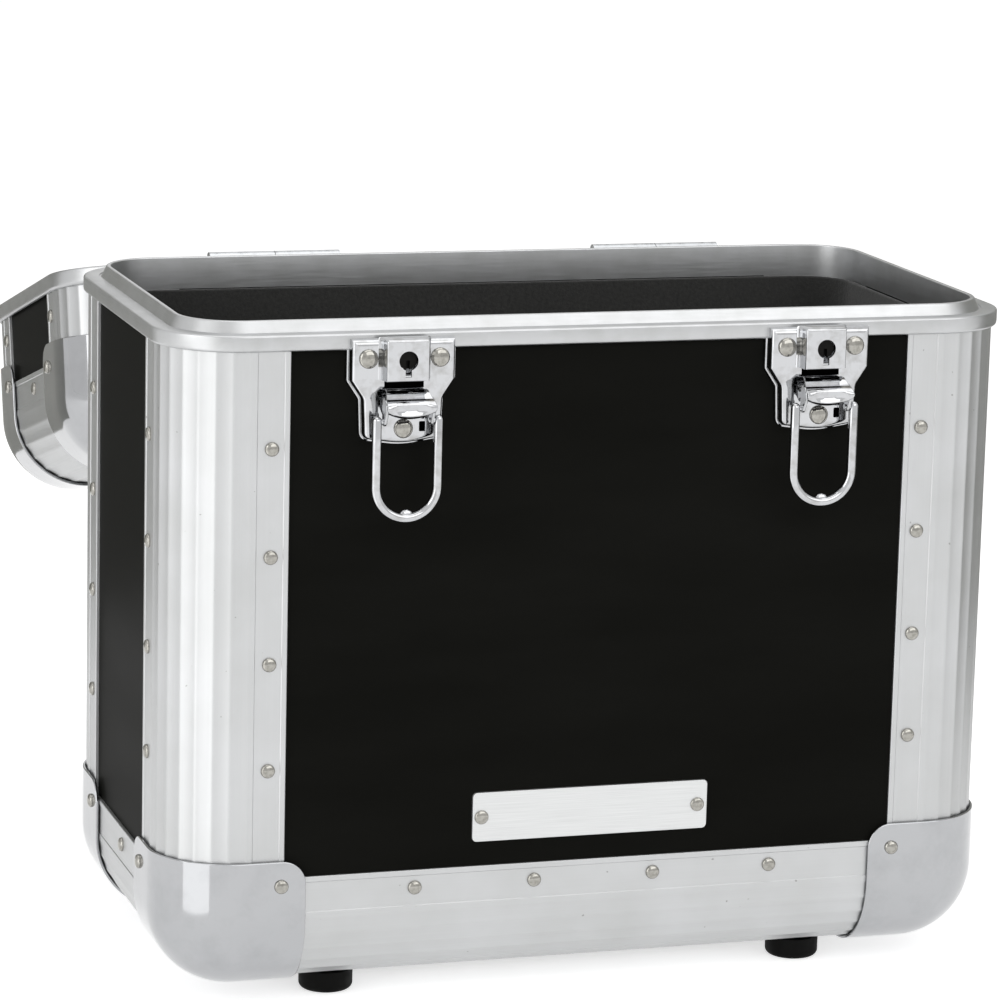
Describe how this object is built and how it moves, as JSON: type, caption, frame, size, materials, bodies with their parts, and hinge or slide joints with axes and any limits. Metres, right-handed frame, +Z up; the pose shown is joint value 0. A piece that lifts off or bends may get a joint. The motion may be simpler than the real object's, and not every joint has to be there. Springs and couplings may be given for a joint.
{
  "type": "record carrying case",
  "caption": "Hard record carrying case with fluted aluminium edge bars, polished ball corners, draw latches with wire bails and a hinged lid that folds right back.",
  "frame": {"origin": "on the floor, under the middle of the outline with the lid open", "axes": "+X to the right of the latched front, +Y to the back where the lid folds down, +Z up"},
  "size_m": [0.3694, 0.4322, 0.291],
  "materials": {
    "black_laminate": "satin black laminate on plywood, fine grain",
    "polished_steel": "polished chrome plate with faint polishing marks",
    "anodised_aluminium": "matte clear-anodised extrusion, drawn along its length",
    "rim_aluminium": "satin clear-anodised extrusion",
    "black_felt": "short-pile black felt on board",
    "black_foam": "closed-cell black foam sheet",
    "black_rubber": "moulded matt black rubber",
    "plate_aluminium": "brushed aluminium, bare",
    "lock_barrel": "turned and nickel plated",
    "zinc_steel": "bright zinc-plated steel",
    "black_grip": "moulded black grip, fine texture",
    "nickel_steel": "bright nickel-plated steel"
  },
  "bodies": {
    "case_body": {"ball_corners": "polished_steel", "base_bar_front": "anodised_aluminium", "base_bar_left": "anodised_aluminium", "base_bar_rear": "anodised_aluminium", "base_bar_right": "anodised_aluminium", "base_panel": "black_laminate", "body_base_pad": "black_foam", "body_hinge_leaves": "zinc_steel", "body_lining": "black_felt", "body_rim": "rim_aluminium", "feet": "black_rubber", "front_panel": "black_laminate", "hinge_pins": "zinc_steel", "key_cylinders": "lock_barrel", "latch_base_left": "nickel_steel", "latch_base_right": "nickel_steel", "left_panel": "black_laminate", "lever_lugs": "nickel_steel", "lock_case_left": "nickel_steel", "lock_case_right": "nickel_steel", "name_plate": "plate_aluminium", "rear_panel": "black_laminate", "right_panel": "black_laminate", "upright_bar_front_left": "anodised_aluminium", "upright_bar_front_right": "anodised_aluminium", "upright_bar_rear_left": "anodised_aluminium", "upright_bar_rear_right": "anodised_aluminium"},
    "lid": {"handle_bracket_left": "nickel_steel", "handle_bracket_right": "nickel_steel", "lid_ball_corners": "polished_steel", "lid_catch_left": "nickel_steel", "lid_catch_right": "nickel_steel", "lid_edge_bar_front": "anodised_aluminium", "lid_edge_bar_left": "anodised_aluminium", "lid_edge_bar_rear": "anodised_aluminium", "lid_edge_bar_right": "anodised_aluminium", "lid_front_panel": "black_laminate", "lid_hinge_leaves": "zinc_steel", "lid_left_panel": "black_laminate", "lid_lining": "black_felt", "lid_pad": "black_foam", "lid_rear_panel": "black_laminate", "lid_right_panel": "black_laminate", "lid_rim": "rim_aluminium", "lid_top_panel": "black_laminate", "lid_upright_bars": "anodised_aluminium"},
    "handle": {"handle_grip": "black_grip", "handle_rod": "nickel_steel"},
    "lever_left": {"latch_lever_left": "nickel_steel", "lever_pin_left": "nickel_steel"},
    "lever_right": {"latch_lever_right": "nickel_steel", "lever_pin_right": "nickel_steel"},
    "bail_left": {"latch_bail_left": "nickel_steel"},
    "bail_right": {"latch_bail_right": "nickel_steel"}
  },
  "joints": [
    {"name": "lid_hinge", "type": "hinge", "parent": "case_body", "child": "lid", "pos_m": [0, 0.0053, 0.2866], "axis": [-1, 0, 0], "range_deg": [-195.36, 0]},
    {"name": "handle_pivot", "type": "hinge", "parent": "lid", "child": "handle", "pos_m": [0, 0.08016, 0.16274], "axis": [1, 0, 0], "range_deg": [-104.86, 74.14]},
    {"name": "lever_pivot_left", "type": "hinge", "parent": "case_body", "child": "lever_left", "pos_m": [-0.088, -0.2092, 0.2595], "axis": [-1, 0, 0], "range_deg": [0, 110]},
    {"name": "bail_pivot_left", "type": "hinge", "parent": "lever_left", "child": "bail_left", "pos_m": [-0.088, -0.2082, 0.252], "axis": [1, 0, 0], "range_deg": [-177.56, 0]},
    {"name": "lever_pivot_right", "type": "hinge", "parent": "case_body", "child": "lever_right", "pos_m": [0.092, -0.2092, 0.2595], "axis": [-1, 0, 0], "range_deg": [0, 110]},
    {"name": "bail_pivot_right", "type": "hinge", "parent": "lever_right", "child": "bail_right", "pos_m": [0.092, -0.2082, 0.252], "axis": [1, 0, 0], "range_deg": [-177.56, 0]}
  ]
}
